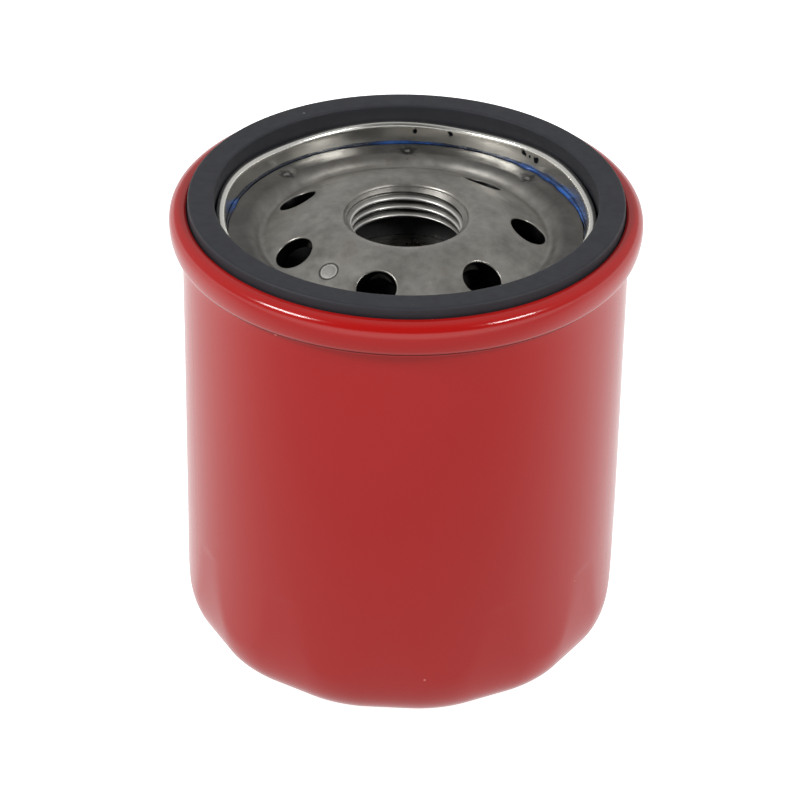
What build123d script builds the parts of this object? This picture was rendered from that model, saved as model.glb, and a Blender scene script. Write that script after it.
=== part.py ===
"""Spin-on oil filter for a small engine, one solid per real piece.

Millimetres. The origin is the centre of the flat closed end, +Z runs up the
filter's axis to the gasket, and the thread takes the engine's nipple from +Z.
Azimuths are measured from -Y towards +X.
"""
from build123d import *

import math
import os

# ---- overall ---------------------------------------------------------------
HEIGHT = 78.4
SEAM_R = 38.0
SHEET = 0.55

# ---- can -------------------------------------------------------------------
CAN_R_TOP = 35.9
CAN_R_LOW = 35.45
CAN_TAPER_Z = 18.4
NECK_Z = 69.4
FACETS = 12
FACET_AZ = -2.6
FACET_FOOT = [(0.0, 30.6), (0.35, 31.13), (0.9, 31.6)]
FACET_FLANK = [(0.9, 31.6), (2.5, 33.2), (4.5, 34.25), (7.0, 34.9), (10.0, 35.2), (15.0, 35.4), (21.5, 35.62)]
DISC_R = 21.0
DISC_DEPTH = 0.9

# ---- double seam (centre lines of the sheet) ---------------------------------
LID_WALL_R = 35.38
CAN_WALL_R = 35.95
COVER_HOOK_R = 36.53
BODY_HOOK_R = 37.11
SEAM_OUT_R = SEAM_R - SHEET / 2
SEAM_TOP_Z = 76.8
SEAM_LOW_Z = 71.0
HOOK_GAP = 0.35
COMPOUND_HALF = 0.2
COMPOUND_GAP = 0.04

# ---- gasket and its channel ----------------------------------------------------
GASKET_R_OUT = 35.05
GASKET_R_IN = 30.8
CHANNEL_Z = 73.4
GASKET_EDGE = 0.35
LIP_FOOT_R = 28.9
LIP_INNER_R = 29.55
LIP_OUTER_R = 30.45
LIP_TOP_Z = 75.85
FLANGE_R = 25.5

# ---- base plate ----------------------------------------------------------------
PLATE_R = 28.6
PLATE_T = 2.5
PLATE_EASE = 0.4
RING_TOP = 72.45
RING_LOW = RING_TOP - PLATE_T
RING_R_IN = 24.9
RING_ROUND = 1.2
RISE_ANGLE = 45.0
VALLEY_ROUND = 1.0
INLETS = 7
INLET_R = 3.15
INLET_PCR = 19.7
INLET_Z = 72.68
INLET_AZ = -13.2
SLOPE = 28.4
CREST_Z = 75.5
CREST_ROUND = 7.0
ROLL_R = 11.2
ROLL_ROUND = 4.6
MOUTH_R = 9.94
MOUTH_Z = 74.67
BORE_R = 8.75
BORE_TOP_Z = 73.5
NECK_R = 11.4
NECK_LOW = 69.4
WELD_PCR = 26.4
WELD_AZ = [180.0, 132.0, 48.0, 0.0, -48.0, -132.0]
WELD_R = 1.15
WELD_DEPTH = 0.35
COIN_R = 1.4
COIN_PCR = 19.1
COIN_AZ = -39.3
COIN_DEPTH = 0.12

# ---- sealing bead --------------------------------------------------------------
BEAD_WIDTH = 0.95
BEAD_RISE = 0.6

# ---- anti-drain-back valve -----------------------------------------------------
HUB_R_IN = NECK_R + 0.05
HUB_R_OUT = 14.2
HUB_GAP = 0.25
FLAP_R_IN = HUB_R_OUT + 0.25
FLAP_R_OUT = 27.4
FLAP_SEAL_Z = RING_LOW - SHEET - 0.25
FLAP_RIM_R = 24.4
FLAP_ROOT_Z = 66.55
FLAP_T = 0.9

# ---- element -------------------------------------------------------------------
CAP_SHEET = 0.5
CAP_R = 31.2
CAP_SKIRT = 3.2
CAP_HOLE_R = 10.0
UPPER_CAP_Z = 64.9
LOWER_CAP_Z = 11.6
POTTING_T = 1.7
TUBE_R_IN = 10.7
TUBE_WALL = 0.5
TUBE_HOLE_R = 1.6
TUBE_HOLES_ROUND = 8
TUBE_HOLE_ROWS = 8
PLEATS = 40
PLEAT_R_OUT = 30.1
PLEAT_R_IN = 11.9
PAPER = 0.55
PLEAT_TIP_HALF = 0.95
CLIP_SHEET = 0.35
CLIP_DEPTH = 4.5

# ---- bypass valve --------------------------------------------------------------
SEAT_R = 4.6
SEAT_RAISE = 0.6
POPPET_R = 6.6
POPPET_T = 0.8
SEAL_R_IN = 3.4
SEAL_T = 0.7
STEM_R = 1.5
STEM_TOP = 31.5
STEM_CLEAR = 0.06
SPRING_R = 4.4
SPRING_WIRE = 0.45
SPRING_TURNS = 5
CAGE_R_IN = 7.6
CAGE_SHEET = 0.6
CAGE_TOP = 27.0
CAGE_FOOT_R = 9.6
CAGE_SLOTS = 3

# ---- element spring ------------------------------------------------------------
LEAF_SHEET = 0.8
LEAF_ARMS = 4
LEAF_WIDTH = 9.0
LEAF_RING_IN = 7.0
LEAF_RING_OUT = 13.0
LEAF_TIP_R = 26.5


def at_azimuth(radius, azimuth, z=0.0):
    """Point at a radius and an azimuth measured from -Y towards +X."""
    angle = math.radians(azimuth)
    return (radius * math.sin(angle), -radius * math.cos(angle), z)


def sheet_face(points, thickness):
    """Closed section of a bent sheet: its centre line widened both ways."""
    left = []
    right = []
    for i, (r, z) in enumerate(points):
        before = points[max(i - 1, 0)]
        after = points[min(i + 1, len(points) - 1)]
        step_in = math.atan2(z - before[1], r - before[0]) if i else None
        step_out = math.atan2(after[1] - z, after[0] - r) if i < len(points) - 1 else None
        if step_in is None:
            step_in = step_out
        if step_out is None:
            step_out = step_in
        turn = (step_out - step_in + math.pi) % (2 * math.pi) - math.pi
        heading = step_in + turn / 2
        reach = thickness / 2 / math.cos(turn / 2)
        nr = -math.sin(heading) * reach
        nz = math.cos(heading) * reach
        left.append((r + nr, z + nz))
        right.append((r - nr, z - nz))
    return section(left + right[::-1])


def section(points):
    """Face in the XZ plane from (radius, height) corners."""
    corners = [(r, 0, z) for r, z in points]
    return make_face(Polyline(*corners, close=True))


def turned(points):
    """Solid of revolution about Z from (radius, height) corners."""
    return revolve(section(points), Axis.Z, 360)


def arc(centre_r, centre_z, radius, start, stop, steps=8):
    """Points on an arc in the (radius, height) plane, angles in degrees."""
    points = []
    for i in range(steps + 1):
        angle = math.radians(start + (stop - start) * i / steps)
        points.append((centre_r + radius * math.cos(angle), centre_z + radius * math.sin(angle)))
    return points


def ring(r_in, r_out, z_low, z_high):
    """Plain ring of rectangular section."""
    return turned([(r_in, z_low), (r_out, z_low), (r_out, z_high), (r_in, z_high)])


def facet_cutter(inset):
    """Block that trims one facet, its inner face bent to the facet's flank."""
    foot = [(a - inset, 0, z) for z, a in FACET_FOOT]
    flank = [(a - inset, 0, z) for z, a in FACET_FLANK]
    foot_edge = ThreePointArc(*foot)
    flank_edge = Spline(*flank)
    top = flank[-1]
    bottom = foot[0]
    back = Polyline(top, (45, 0, top[2]), (45, 0, bottom[2]), bottom)
    face = make_face([foot_edge, flank_edge, back])
    block = extrude(face, amount=14, dir=(0, 1, 0), both=True)
    return block


def can_block(inset):
    """The can as a filled block, drawn in all round by the inset."""
    floor = inset
    outline = [(0, floor), (0, SEAM_LOW_Z + 3)]
    if inset:
        outline = [(0, floor + DISC_DEPTH), (0, SEAM_LOW_Z + 3)]
    outline += [(CAN_WALL_R + SHEET / 2 - inset, SEAM_LOW_Z + 3)]
    outline += [(CAN_WALL_R + SHEET / 2 - inset, SEAM_LOW_Z)]
    outline += [(CAN_R_TOP - inset, NECK_Z), (CAN_R_LOW - inset, CAN_TAPER_Z)]
    outline += [(CAN_R_LOW - inset, floor)]
    if inset:
        outline += [(DISC_R + 0.9, floor), (DISC_R - 0.4, floor + DISC_DEPTH)]
    block = turned(outline)
    for i in range(FACETS):
        azimuth = FACET_AZ + i * 360 / FACETS
        cutter = facet_cutter(inset).moved(Location((0, 0, floor if inset else 0)))
        block -= cutter.rotate(Axis.Z, azimuth - 90)
    return block


def make_can():
    """Drawn can: faceted closed end, straight wall and the seam's body hook."""
    shell = can_block(0.0) - can_block(SHEET)
    recess = [(0, -1), (DISC_R, -1), (DISC_R, 0), (DISC_R - 1.2, DISC_DEPTH), (0, DISC_DEPTH)]
    shell -= turned(recess)
    middle = (CAN_WALL_R + BODY_HOOK_R) / 2
    bend = (BODY_HOOK_R - CAN_WALL_R) / 2
    bend_z = SEAM_TOP_Z - SHEET - HOOK_GAP - SHEET / 2 - bend
    hook = [(CAN_WALL_R, SEAM_LOW_Z + 2)]
    hook += arc(middle, bend_z, bend, 180, 0)
    hook += [(BODY_HOOK_R, SEAM_LOW_Z + 1.7)]
    return shell + revolve(sheet_face(hook, SHEET), Axis.Z, 360)


def make_seaming_lid():
    """Thin lid: flange under the plate, lip, gasket channel and seam hook."""
    flange_z = RING_LOW - SHEET / 2
    fold = (LIP_OUTER_R - LIP_INNER_R) / 2
    fold_z = LIP_TOP_Z - SHEET / 2 - fold
    over = (SEAM_OUT_R - LID_WALL_R) / 2
    over_z = SEAM_TOP_Z - SHEET / 2 - over
    under = (SEAM_OUT_R - COVER_HOOK_R) / 2
    line = [(FLANGE_R, flange_z)]
    line += arc(LIP_FOOT_R - 0.4, flange_z + 0.4, 0.4, -90, 0, 4)
    line += arc(LIP_INNER_R + fold, fold_z, fold, 180, 0)
    line += arc(LIP_OUTER_R + 0.35, CHANNEL_Z - SHEET / 2 + 0.35, 0.35, 180, 270, 4)
    line += arc(LID_WALL_R - 0.35, CHANNEL_Z - SHEET / 2 + 0.35, 0.35, 270, 360, 4)
    line += arc(LID_WALL_R + over, over_z, over, 180, 0)
    line += arc(COVER_HOOK_R + under, SEAM_LOW_Z + SHEET / 2 + under, under, 0, -180)
    line += [(COVER_HOOK_R, SEAM_TOP_Z - 2.4)]
    return revolve(sheet_face(line, SHEET), Axis.Z, 360)


def make_seam_compound():
    """Lining compound in the gap over the body hook."""
    middle = (CAN_WALL_R + BODY_HOOK_R) / 2
    low = SEAM_TOP_Z - SHEET - HOOK_GAP + COMPOUND_GAP
    high = SEAM_TOP_Z - SHEET - 2 * COMPOUND_GAP
    return ring(middle - COMPOUND_HALF, middle + COMPOUND_HALF, low, high)


def rounded_section(corners):
    """Face in the XZ plane from (radius, height, rounding) corners."""
    starts = []
    arcs = []
    count = len(corners)
    for i, (r, z, rounding) in enumerate(corners):
        here = Vector(r, 0, z)
        before = corners[i - 1]
        after = corners[(i + 1) % count]
        way_in = (here - Vector(before[0], 0, before[1])).normalized()
        way_out = (Vector(after[0], 0, after[1]) - here).normalized()
        half = math.acos(max(min(way_in.dot(way_out), 1), -1)) / 2
        start = here - way_in * rounding * math.tan(half)
        end = here + way_out * rounding * math.tan(half)
        starts.append((start, end))
        if rounding:
            inward = (way_out - way_in).normalized()
            arcs.append(ThreePointArc(start, here + inward * rounding * (1 / math.cos(half) - 1), end))
    lines = [Line(starts[i - 1][1], starts[i][0]) for i in range(count)]
    return make_face(lines + arcs)


def slope_z(r):
    """Height of the plate's straight inlet slope at a radius."""
    return INLET_Z - (r - INLET_PCR) * math.tan(math.radians(SLOPE))


def plate_corners(drop):
    """Corners of the plate's top from the welded ring in to the crest, dropped alike."""
    fall = math.tan(math.radians(SLOPE))
    rise = math.tan(math.radians(RISE_ANGLE))
    valley_r = (slope_z(0) - RING_TOP + RING_R_IN * rise) / (rise + fall)
    crest_r = INLET_PCR - (CREST_Z - INLET_Z) / fall
    return [
        (RING_R_IN, RING_TOP - drop, RING_ROUND),
        (valley_r, slope_z(valley_r) - drop, VALLEY_ROUND),
        (crest_r, CREST_Z - drop, CREST_ROUND),
    ]


def on_slope(radius, azimuth):
    """Plane that touches the inlet slope, its normal leaning outwards."""
    lean = math.radians(SLOPE)
    outward = at_azimuth(math.sin(lean), azimuth, math.cos(lean))
    return Plane(origin=at_azimuth(radius, azimuth, slope_z(radius)), z_dir=outward)


def make_base_plate():
    """Stamped plate: raised tapped crest, sloping inlets, valley and welded ring."""
    outline = [(BORE_R, NECK_LOW, 0), (NECK_R, NECK_LOW, 0), (NECK_R, CREST_Z - PLATE_T, 0)]
    outline += plate_corners(PLATE_T)[::-1]
    outline += [(PLATE_R - PLATE_EASE, RING_LOW, 0), (PLATE_R, RING_LOW + PLATE_EASE, 0)]
    outline += [(PLATE_R, RING_TOP, 0)] + plate_corners(0.0)
    outline += [(ROLL_R, CREST_Z, ROLL_ROUND), (MOUTH_R, MOUTH_Z, 0), (BORE_R, BORE_TOP_Z, 0)]
    plate = revolve(rounded_section(outline), Axis.Z, 360)
    for i in range(INLETS):
        plate -= on_slope(INLET_PCR, INLET_AZ + i * 360 / INLETS) * Cylinder(INLET_R, PLATE_T * 3)
    for azimuth in WELD_AZ:
        x, y, z = at_azimuth(WELD_PCR, azimuth, RING_TOP - WELD_DEPTH / 2)
        plate -= Pos(x, y, z) * Cone(WELD_R * 0.4, WELD_R, WELD_DEPTH)
    plate -= on_slope(COIN_PCR, COIN_AZ) * Cylinder(COIN_R, COIN_DEPTH * 2)
    return plate


def lip_face(z):
    """Radius of the lip's inner face, which leans outwards from its foot."""
    foot = RING_LOW
    lean = (LIP_INNER_R - LIP_FOOT_R) / (LIP_TOP_Z - foot)
    return LIP_FOOT_R - SHEET / 2 + (z - foot) * lean


def make_joint_sealant():
    """Sealing bead in the corner between the plate and the lip."""
    high = RING_TOP + BEAD_RISE
    crown = (lip_face(high) - BEAD_WIDTH * 0.55, RING_TOP + BEAD_RISE * 0.7)
    outline = [(lip_face(RING_TOP) - BEAD_WIDTH, RING_TOP), (lip_face(RING_TOP) - 0.03, RING_TOP)]
    return turned(outline + [(lip_face(high) - 0.03, high), crown])


def make_gasket():
    """Square-section rubber ring with eased corners."""
    e = GASKET_EDGE
    low = CHANNEL_Z + 0.02
    outline = [(GASKET_R_IN + e, low), (GASKET_R_OUT - e, low), (GASKET_R_OUT, low + e)]
    outline += [(GASKET_R_OUT, HEIGHT - e), (GASKET_R_OUT - e, HEIGHT)]
    outline += [(GASKET_R_IN + e, HEIGHT), (GASKET_R_IN, HEIGHT - e), (GASKET_R_IN, low + e)]
    return turned(outline)


def make_anti_drain_valve():
    """Rubber hub under the plate's neck, clamped between plate and end cap."""
    low = UPPER_CAP_Z
    return ring(HUB_R_IN, HUB_R_OUT, low, CREST_Z - PLATE_T - HUB_GAP)


def make_anti_drain_flap():
    """Rubber skirt that closes the inlets, its rim turned up against the lid's flange."""
    rise = 0.45
    outline = [(FLAP_R_IN, FLAP_ROOT_Z), (FLAP_RIM_R, FLAP_ROOT_Z + rise), (FLAP_R_OUT, FLAP_SEAL_Z - FLAP_T)]
    outline += [(FLAP_R_OUT, FLAP_SEAL_Z), (FLAP_R_OUT - 1.5, FLAP_SEAL_Z)]
    outline += [(FLAP_RIM_R, FLAP_ROOT_Z + rise + FLAP_T), (FLAP_R_IN, FLAP_ROOT_Z + FLAP_T)]
    return turned(outline)


def make_upper_end_cap():
    """Upper cap: flat disc, outer skirt down, inner collar down."""
    half = CAP_SHEET / 2
    z = UPPER_CAP_Z - half
    line = [(CAP_HOLE_R + half, z - 4.0), (CAP_HOLE_R + half, z)]
    line += [(CAP_R - half, z), (CAP_R - half, z - CAP_SKIRT)]
    return revolve(sheet_face(line, CAP_SHEET), Axis.Z, 360)


def make_lower_end_cap():
    """Lower cap: outer skirt up and a raised valve seat round the relief hole."""
    half = CAP_SHEET / 2
    z = LOWER_CAP_Z - half
    line = [(SEAT_R + half, z + SEAT_RAISE), (SEAT_R + 1.4, z + SEAT_RAISE), (SEAT_R + 1.9, z)]
    line += [(CAP_R - half, z), (CAP_R - half, z + CAP_SKIRT)]
    return revolve(sheet_face(line, CAP_SHEET), Axis.Z, 360)


def make_upper_potting():
    """Adhesive layer that fills the upper cap round the pleats' ends."""
    high = UPPER_CAP_Z - CAP_SHEET
    return ring(TUBE_R_IN + TUBE_WALL, CAP_R - CAP_SHEET, high - POTTING_T, high)


def make_lower_potting():
    """Adhesive layer that fills the lower cap round the pleats' ends."""
    return ring(TUBE_R_IN + TUBE_WALL, CAP_R - CAP_SHEET, LOWER_CAP_Z, LOWER_CAP_Z + POTTING_T)


def make_center_tube():
    """Perforated tube that holds the pleats open."""
    low = LOWER_CAP_Z
    high = UPPER_CAP_Z - CAP_SHEET
    tube = ring(TUBE_R_IN, TUBE_R_IN + TUBE_WALL, low, high)
    first = low + 6.5
    pitch = (high - 6.5 - first) / (TUBE_HOLE_ROWS - 1)
    half_round = TUBE_HOLES_ROUND // 2
    for row in range(TUBE_HOLE_ROWS):
        shift = (row % 2) * 180 / TUBE_HOLES_ROUND
        for i in range(half_round):
            drill = Cylinder(TUBE_HOLE_R, 4 * TUBE_R_IN, rotation=(90, 0, 0))
            drill = drill.rotate(Axis.Z, shift + i * 360 / TUBE_HOLES_ROUND)
            tube -= Pos(0, 0, first + row * pitch) * drill
    return tube


def beside(radius, angle, side):
    """Point at a radius along an angle, moved sideways from that line."""
    x = radius * math.cos(angle) - side * math.sin(angle)
    y = radius * math.sin(angle) + side * math.cos(angle)
    return (x, y)


def star_outline(tip_r, valley_r, tip_half, valley_half):
    """Closed zigzag outline: flat-topped pleats between two radii."""
    points = []
    for i in range(PLEATS):
        tip = 2 * math.pi * i / PLEATS
        valley = tip + math.pi / PLEATS
        points.append(beside(tip_r, tip, -tip_half))
        points.append(beside(tip_r, tip, tip_half))
        points.append(beside(valley_r, valley, -valley_half))
        points.append(beside(valley_r, valley, valley_half))
    return make_face(Polyline(*points, close=True))


def make_pleated_media():
    """Folded paper ring between the two potting layers."""
    low = LOWER_CAP_Z + POTTING_T
    high = UPPER_CAP_Z - CAP_SHEET - POTTING_T
    outer = star_outline(PLEAT_R_OUT, PLEAT_R_IN + PAPER, PLEAT_TIP_HALF, 0.1)
    inner = star_outline(PLEAT_R_OUT - PAPER, PLEAT_R_IN, PLEAT_TIP_HALF - PAPER, 0.1 + PAPER)
    return extrude(Pos(0, 0, low) * (outer - inner), amount=high - low)


def make_media_seam_clip():
    """Crimped strip over one pleat, joining the paper's two ends."""
    low = LOWER_CAP_Z + POTTING_T + 0.8
    high = UPPER_CAP_Z - CAP_SHEET - POTTING_T - 0.8
    tall = high - low
    wide = 2 * PLEAT_TIP_HALF
    outside = Box(CLIP_DEPTH, wide + 2 * CLIP_SHEET, tall)
    inside = Pos(-CLIP_SHEET, 0, 0) * Box(CLIP_DEPTH, wide + 0.02, tall)
    mid_x = PLEAT_R_OUT + 0.02 + CLIP_SHEET - CLIP_DEPTH / 2
    return Pos(mid_x, 0, (low + high) / 2) * (outside - inside)


def make_bypass_cage():
    """Slotted guide cage standing on the lower cap, round the relief hole."""
    half = CAGE_SHEET / 2
    low = LOWER_CAP_Z + half
    top = CAGE_TOP - half
    r = CAGE_R_IN + half
    guide_r = STEM_R + STEM_CLEAR + half
    line = [(CAGE_FOOT_R, low), (r, low), (r, top), (guide_r, top), (guide_r, top + 1.6)]
    cage = revolve(sheet_face(line, CAGE_SHEET), Axis.Z, 360)
    for i in range(CAGE_SLOTS):
        slot = Pos(CAGE_R_IN, 0, LOWER_CAP_Z + 7.6) * Box(6, 7, 9)
        cage -= slot.rotate(Axis.Z, i * 360 / CAGE_SLOTS)
    return cage


def seal_floor():
    """Height of the seat's top, where the closed seal rests."""
    return LOWER_CAP_Z + SEAT_RAISE


def make_bypass_seal():
    """Rubber face ring bonded under the poppet's head."""
    low = seal_floor() + 0.02
    return ring(SEAL_R_IN, POPPET_R - 0.3, low, low + SEAL_T)


def make_bypass_poppet():
    """Poppet: head, spring shoulder and long guide stem."""
    low = seal_floor() + 0.02
    head = low + SEAL_T
    outline = [(0, low), (SEAL_R_IN, low), (SEAL_R_IN, head), (POPPET_R, head), (POPPET_R, head + POPPET_T)]
    outline += [(3.2, head + POPPET_T), (3.2, head + POPPET_T + 1.0), (STEM_R, head + POPPET_T + 1.6)]
    outline += [(STEM_R, STEM_TOP - 0.5), (STEM_R - 0.5, STEM_TOP), (0, STEM_TOP)]
    return turned(outline)


def make_bypass_spring():
    """Round-wire coil between the poppet's head and the cage's top."""
    low = seal_floor() + 0.02 + SEAL_T + POPPET_T + SPRING_WIRE + 0.05
    high = CAGE_TOP - CAGE_SHEET - SPRING_WIRE - 0.05
    path = Pos(0, 0, low) * Helix(pitch=(high - low) / SPRING_TURNS, height=high - low, radius=SPRING_R)
    start = path @ 0
    wire_plane = Plane(origin=start, z_dir=path % 0)
    return sweep(wire_plane * Circle(SPRING_WIRE), path=path, is_frenet=True)


def make_element_spring():
    """Sheet star spring: ring under the lower cap, four arms bent to the floor."""
    half = LEAF_SHEET / 2
    top = LOWER_CAP_Z - CAP_SHEET - half
    floor = SHEET + half
    line = [(LEAF_RING_OUT - 1.5, top), (LEAF_RING_OUT + 0.5, top)]
    steps = 8
    for i in range(1, steps + 1):
        share = i / steps
        ease = (1 - math.cos(math.pi * share)) / 2
        reach = LEAF_RING_OUT + 0.5 + (LEAF_TIP_R - 3.5 - LEAF_RING_OUT) * share
        line.append((reach, top + (floor - top) * ease))
    line.append((LEAF_TIP_R - 1.0, floor))
    line.append((LEAF_TIP_R, floor + 0.5))
    spring = ring(LEAF_RING_IN, LEAF_RING_OUT, top - half, top + half)
    for i in range(LEAF_ARMS):
        arm = extrude(sheet_face(line, LEAF_SHEET), amount=LEAF_WIDTH / 2, dir=(0, 1, 0), both=True)
        spring += arm.rotate(Axis.Z, 45 + i * 360 / LEAF_ARMS)
    return spring


PIECES = {
    "can": make_can,
    "seaming_lid": make_seaming_lid,
    "seam_compound": make_seam_compound,
    "base_plate": make_base_plate,
    "joint_sealant": make_joint_sealant,
    "gasket": make_gasket,
    "anti_drain_valve": make_anti_drain_valve,
    "anti_drain_flap": make_anti_drain_flap,
    "upper_end_cap": make_upper_end_cap,
    "upper_potting": make_upper_potting,
    "pleated_media": make_pleated_media,
    "media_seam_clip": make_media_seam_clip,
    "center_tube": make_center_tube,
    "lower_potting": make_lower_potting,
    "lower_end_cap": make_lower_end_cap,
    "bypass_cage": make_bypass_cage,
    "bypass_poppet": make_bypass_poppet,
    "bypass_seal": make_bypass_seal,
    "bypass_spring": make_bypass_spring,
    "element_spring": make_element_spring,
}


def main():
    """Write one STEP file per piece."""
    os.makedirs("parts", exist_ok=True)
    for name, make in PIECES.items():
        piece = make()
        piece.label = name
        export_step(piece, f"parts/{name}.step")


main()
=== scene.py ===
"""Spin-on oil filter: surfaces, finishes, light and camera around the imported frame.

Shapes are worked out in millimetres in the frame of the CAD model, with +Z up the
filter's axis and azimuths measured from -Y towards +X, and become metres when a
mesh is made.
"""
import logging
import math
from dataclasses import dataclass, field
from enum import Enum
from typing import Any, Callable, Optional, Sequence

import bmesh
import bpy
import numpy as np
from mathutils import Matrix, Vector


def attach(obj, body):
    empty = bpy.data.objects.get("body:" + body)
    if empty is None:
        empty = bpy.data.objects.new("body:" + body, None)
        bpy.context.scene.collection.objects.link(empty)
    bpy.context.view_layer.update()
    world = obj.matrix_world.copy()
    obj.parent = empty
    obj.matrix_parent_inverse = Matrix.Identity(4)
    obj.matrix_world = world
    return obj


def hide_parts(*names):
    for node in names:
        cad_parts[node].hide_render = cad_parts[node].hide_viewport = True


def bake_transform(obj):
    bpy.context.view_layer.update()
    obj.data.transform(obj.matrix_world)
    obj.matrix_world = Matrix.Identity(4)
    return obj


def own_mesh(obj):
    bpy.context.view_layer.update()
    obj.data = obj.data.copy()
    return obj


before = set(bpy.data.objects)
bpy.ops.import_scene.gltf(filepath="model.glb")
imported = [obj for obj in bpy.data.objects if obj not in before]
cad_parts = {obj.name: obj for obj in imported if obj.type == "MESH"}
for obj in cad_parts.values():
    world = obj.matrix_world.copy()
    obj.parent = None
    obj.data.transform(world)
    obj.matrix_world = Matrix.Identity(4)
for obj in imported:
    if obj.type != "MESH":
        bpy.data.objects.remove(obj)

LOG = logging.getLogger("oil_filter")
TURN = 2 * math.pi
MM = 0.001
FIXED = "filter"
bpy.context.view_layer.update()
Triple = tuple[float, float, float]
Socket = bpy.types.NodeSocket
Material = bpy.types.Material
NodeTree = bpy.types.NodeTree
Marks = tuple[Triple, ...]


# ---------------------------------------------------------------------------
# Surfaces
# ---------------------------------------------------------------------------


class Ends(Enum):
    """How a stack of rings is finished at its first and last ring."""

    JOINED = "joined"
    OPEN = "open"
    POLES = "poles"


def polar(radius: np.ndarray, azimuth: np.ndarray, height: np.ndarray) -> np.ndarray:
    """Points from cylindrical places: x is r sin a, y is -r cos a.

    Args:
        radius: distances from the axis.
        azimuth: angles in radians, from -Y towards +X.
        height: heights along the axis.

    Returns:
        An array with one more dimension, of length three.
    """
    radius, azimuth, height = np.broadcast_arrays(radius, azimuth, height)
    return np.stack([radius * np.sin(azimuth), -radius * np.cos(azimuth), height], axis=-1)


def smooth_min(a: np.ndarray, b: np.ndarray, reach: float) -> np.ndarray:
    """Lesser of two fields, eased where they differ by less than the reach.

    It is the plain minimum less a quarter of the squared overlap over the reach.

    Args:
        a: first field.
        b: second field.
        reach: difference over which the corner is rounded.

    Returns:
        The eased minimum.
    """
    overlap = np.maximum(reach - np.abs(a - b), 0.0)
    return np.minimum(a, b) - overlap**2 / (4 * reach)


def ripple(azimuth: np.ndarray, seed: int, lowest: int, highest: int) -> np.ndarray:
    """Closed random wave about zero: a sum of sines of whole orders and fixed phases.

    Args:
        azimuth: angles in radians.
        seed: number that fixes the phases and strengths.
        lowest: lowest order, in waves per turn.
        highest: highest order.

    Returns:
        Values mostly between -1 and 1, the same shape as the angles.
    """
    chance = np.random.default_rng(seed)
    orders = np.arange(lowest, highest + 1)
    phases = chance.uniform(0, TURN, orders.size)
    strengths = chance.uniform(0.4, 1.0, orders.size)
    waves = strengths * np.sin(azimuth[..., None] * orders + phases)
    return waves.sum(axis=-1) / np.sqrt((strengths**2).sum())


def eased_line(corners: Sequence[Triple], closed: bool, steps: int = 6) -> np.ndarray:
    """Profile through corners, each rounded by a parabola between two cut points.

    A corner P with unit directions in and out becomes the quadratic curve from
    P less the cut along the way in, by P, to P plus the cut along the way out.

    Args:
        corners: radius, height and cut length of each corner.
        closed: whether the profile returns to its start.
        steps: segments across each rounding.

    Returns:
        Points as an (n, 2) array of radius and height.
    """
    data = np.array(corners, float)
    place, cut = data[:, :2], data[:, 2]
    before = place - np.roll(place, 1, axis=0)
    after = np.roll(place, -1, axis=0) - place
    before /= np.maximum(np.linalg.norm(before, axis=1, keepdims=True), 1e-9)
    after /= np.maximum(np.linalg.norm(after, axis=1, keepdims=True), 1e-9)
    s = np.linspace(0, 1, steps + 1)[None, :, None]
    entry = (place - before * cut[:, None])[:, None]
    leave = (place + after * cut[:, None])[:, None]
    curve = (1 - s) ** 2 * entry + 2 * s * (1 - s) * place[:, None] + s**2 * leave
    if closed:
        return curve.reshape(-1, 2)
    return np.vstack([place[:1], curve[1:-1].reshape(-1, 2), place[-1:]])


def spaced(line: np.ndarray, step: float, closed: bool = False) -> np.ndarray:
    """The same profile with points added so that no stretch is longer than the step.

    Args:
        line: points of the profile.
        step: longest stretch allowed.
        closed: whether the stretch back to the start is divided too.

    Returns:
        The denser profile.
    """
    path = np.vstack([line, line[:1]]) if closed else line
    along = np.concatenate([[0.0], np.cumsum(np.linalg.norm(np.diff(path, axis=0), axis=1))])
    extra = np.arange(step, along[-1], step)
    gap = np.abs(extra[:, None] - along[None, :]).min(axis=1)
    marks = np.union1d(along, extra[gap > step * 0.3])
    dense = np.stack([np.interp(marks, along, path[:, k]) for k in (0, 1)], axis=1)
    return dense[:-1] if closed else dense


def sheet_section(line: np.ndarray, thickness: float) -> np.ndarray:
    """Closed section of bent sheet: the centre line moved half a thickness each way.

    Args:
        line: centre line of the sheet.
        thickness: thickness of the sheet.

    Returns:
        Closed section, running round the metal.
    """
    along = np.gradient(line, axis=0)
    along /= np.linalg.norm(along, axis=1, keepdims=True)
    across = np.stack([-along[:, 1], along[:, 0]], axis=1) * thickness / 2
    return np.vstack([line - across, (line + across)[::-1]])


def anticlockwise(section: np.ndarray) -> np.ndarray:
    """The closed section turned so that its metal lies on the left of its path."""
    r, z = section.T
    area = np.sum(r * np.roll(z, -1) - np.roll(r, -1) * z)
    return section if area > 0 else section[::-1]


def ring_faces(count: int, around: int, first: int, ends: Ends) -> list[list[int]]:
    """Faces between neighbouring rings, wound so that they face away from the metal.

    Args:
        count: number of rings.
        around: points in each ring.
        first: index of the first ring's first point.
        ends: how the stack ends; with poles, the two poles follow the last ring.

    Returns:
        Vertex indices of each face.
    """
    i = np.arange(count if ends is Ends.JOINED else count - 1)[:, None]
    j = np.arange(around)[None, :]
    onward = (j + 1) % around
    above = (i + 1) % count
    corners = [i * around + j, i * around + onward, above * around + onward, above * around + j]
    faces = (np.stack(np.broadcast_arrays(*corners), axis=-1).reshape(-1, 4) + first).tolist()
    if ends is Ends.POLES:
        low = first + count * around
        top = first + (count - 1) * around
        j, onward = j[0], onward[0]
        faces += np.stack([np.full(around, low), first + onward, first + j], axis=1).tolist()
        faces += np.stack([top + j, top + onward, np.full(around, low + 1)], axis=1).tolist()
    return faces


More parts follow.
